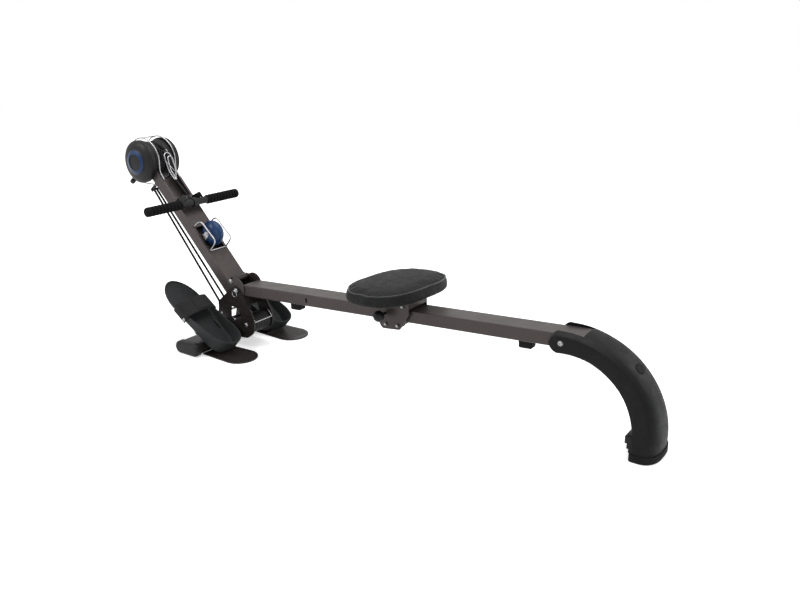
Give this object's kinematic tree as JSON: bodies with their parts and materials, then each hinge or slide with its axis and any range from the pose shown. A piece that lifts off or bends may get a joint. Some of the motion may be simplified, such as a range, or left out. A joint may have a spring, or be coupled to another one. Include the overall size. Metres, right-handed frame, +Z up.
{
  "type": "rowing machine",
  "caption": "Folding home rower: leaning post with a rope drum and handlebar, tilting pedals, sliding padded seat on a steel beam, and a curved rear leg.",
  "frame": {"origin": "on the floor, under the middle of the whole machine", "axes": "+X along the beam from the post to the rear leg, +Y towards the rower's right foot, +Z up"},
  "size_m": [2.0368, 0.4526, 0.7004],
  "materials": {
    "painted_steel": "satin brown-grey powder coat",
    "black_plastic": "fine-grained moulded plastic",
    "pedal_plastic": "coarse-grained moulded plastic",
    "rubber": "matt rubber",
    "chrome": "polished wire",
    "zinc": "zinc-plated steel",
    "blue_plastic": "smooth moulded plastic",
    "leatherette": "fine-grained artificial leather",
    "foam": "ribbed foam rubber",
    "webbing": "heavy rubberised webbing",
    "rope": "braided cord"
  },
  "bodies": {
    "base": {"post": "painted_steel", "base_cheek_left": "painted_steel", "base_cheek_right": "painted_steel", "cross_tube": "painted_steel", "cross_tube_cap_left": "black_plastic", "cross_tube_cap_right": "black_plastic", "standing_plate_left": "painted_steel", "standing_plate_right": "painted_steel", "pedal_axle": "zinc", "lower_axle": "zinc", "lower_guard": "chrome", "pivot_bolt": "zinc", "drum_axle": "zinc", "drum_cover_left": "black_plastic", "drum_cover_right": "black_plastic", "drum_guard": "chrome", "drum_rope": "rope", "roller_bracket": "zinc", "roller_guard": "chrome", "handle_rest": "black_plastic", "cord_anchor_top": "zinc", "cord_anchor_bottom": "zinc", "elastic_cord_1": "rubber", "elastic_cord_2": "rubber", "elastic_cord_3": "rubber"},
    "beam_frame": {"beam": "painted_steel", "hinge_bracket": "painted_steel", "stop_front": "rubber", "stop_rear": "rubber", "rear_leg": "black_plastic", "leg_bolt": "zinc", "foot_cap": "rubber"},
    "seat": {"seat_pad": "leatherette", "seat_carriage": "painted_steel"},
    "seat_pull_knob": {"seat_knob": "black_plastic"},
    "upper_front_wheel": {"upper_roller_front": "black_plastic"},
    "upper_rear_wheel": {"upper_roller_rear": "black_plastic"},
    "lower_front_wheel": {"lower_roller_front": "black_plastic"},
    "lower_rear_wheel": {"lower_roller_rear": "black_plastic"},
    "handle": {"handlebar": "black_plastic", "grip_left": "foam", "grip_right": "foam", "rope_eye": "black_plastic", "handle_rope": "rope", "snap_hook": "chrome"},
    "drum": {"drum_pulley": "black_plastic", "rope_winding": "rope"},
    "rope_roller_low": {"lower_roller": "black_plastic"},
    "rope_roller_middle": {"middle_roller": "blue_plastic"},
    "left_pedal": {"pedal_left": "pedal_plastic", "pedal_strap_left": "webbing", "strap_bolt_left": "zinc"},
    "right_pedal": {"pedal_right": "pedal_plastic", "pedal_strap_right": "webbing", "strap_bolt_right": "zinc"},
    "stop_pin": {"lock_pin": "chrome", "pin_ring": "chrome"},
    "drum_knob": {"tension_knob": "black_plastic"}
  },
  "joints": [
    {"name": "beam_fold", "type": "hinge", "parent": "base", "child": "beam_frame", "pos_m": [-0.52186, 0, 0.2311], "axis": [0, 1, 0], "range_deg": [-80, 0]},
    {"name": "seat_slide", "type": "slide", "parent": "beam_frame", "child": "seat", "axis": [0.9981, 0, 0.061], "range_m": [-0.36, 0.37]},
    {"name": "seat_knob_pull", "type": "slide", "parent": "seat", "child": "seat_pull_knob", "axis": [0, -1, 0], "range_m": [0, 0.007], "stiffness_N_per_m": 500, "springref_m": -0.004},
    {"name": "handle_pull", "type": "slide", "parent": "base", "child": "handle", "axis": [1, 0, 0], "range_m": [0, 0.85], "stiffness_N_per_m": 120, "springref_m": -0.15},
    {"name": "drum_spin", "type": "hinge", "parent": "base", "child": "drum", "pos_m": [-0.93354, 0, 0.6159], "axis": [0, 1, 0], "continuous": true},
    {"name": "rope_roller_low_spin", "type": "hinge", "parent": "base", "child": "rope_roller_low", "pos_m": [-0.45286, 0, 0.0827], "axis": [0, 1, 0], "continuous": true},
    {"name": "rope_roller_middle_spin", "type": "hinge", "parent": "base", "child": "rope_roller_middle", "pos_m": [-0.64047, 0, 0.38019], "axis": [0, 1, 0], "continuous": true},
    {"name": "left_pedal_tilt", "type": "hinge", "parent": "base", "child": "left_pedal", "pos_m": [-0.579, -0.131, 0.06838], "axis": [0, 1, 0], "range_deg": [-20, 2]},
    {"name": "right_pedal_tilt", "type": "hinge", "parent": "base", "child": "right_pedal", "pos_m": [-0.579, 0.131, 0.06838], "axis": [0, 1, 0], "range_deg": [-20, 2]},
    {"name": "stop_pin_pull", "type": "slide", "parent": "base", "child": "stop_pin", "axis": [0, -1, 0], "range_m": [0, 0.11]},
    {"name": "drum_knob_turn", "type": "hinge", "parent": "base", "child": "drum_knob", "pos_m": [-0.92133, -0.0511, 0.60268], "axis": [-0.7347, 0, -0.6784], "continuous": true},
    {"name": "upper_front_roll", "type": "hinge", "parent": "seat", "child": "upper_front_wheel", "pos_m": [0.11067, 0, 0.2745], "axis": [0, 1, 0], "continuous": true},
    {"name": "upper_rear_roll", "type": "hinge", "parent": "seat", "child": "upper_rear_wheel", "pos_m": [0.21448, 0, 0.28085], "axis": [0, 1, 0], "continuous": true},
    {"name": "lower_front_roll", "type": "hinge", "parent": "seat", "child": "lower_front_wheel", "pos_m": [0.15252, 0, 0.21284], "axis": [0, 1, 0], "continuous": true},
    {"name": "lower_rear_roll", "type": "hinge", "parent": "seat", "child": "lower_rear_wheel", "pos_m": [0.19643, 0, 0.21552], "axis": [0, 1, 0], "continuous": true}
  ],
  "couplings": [
    {"joint": "upper_front_roll", "follows": "seat_slide", "rad_per_m": 74.074},
    {"joint": "upper_rear_roll", "follows": "seat_slide", "rad_per_m": 74.074},
    {"joint": "lower_front_roll", "follows": "seat_slide", "rad_per_m": -100},
    {"joint": "lower_rear_roll", "follows": "seat_slide", "rad_per_m": -100},
    {"joint": "drum_spin", "follows": "handle_pull", "rad_per_m": 17.4}
  ]
}
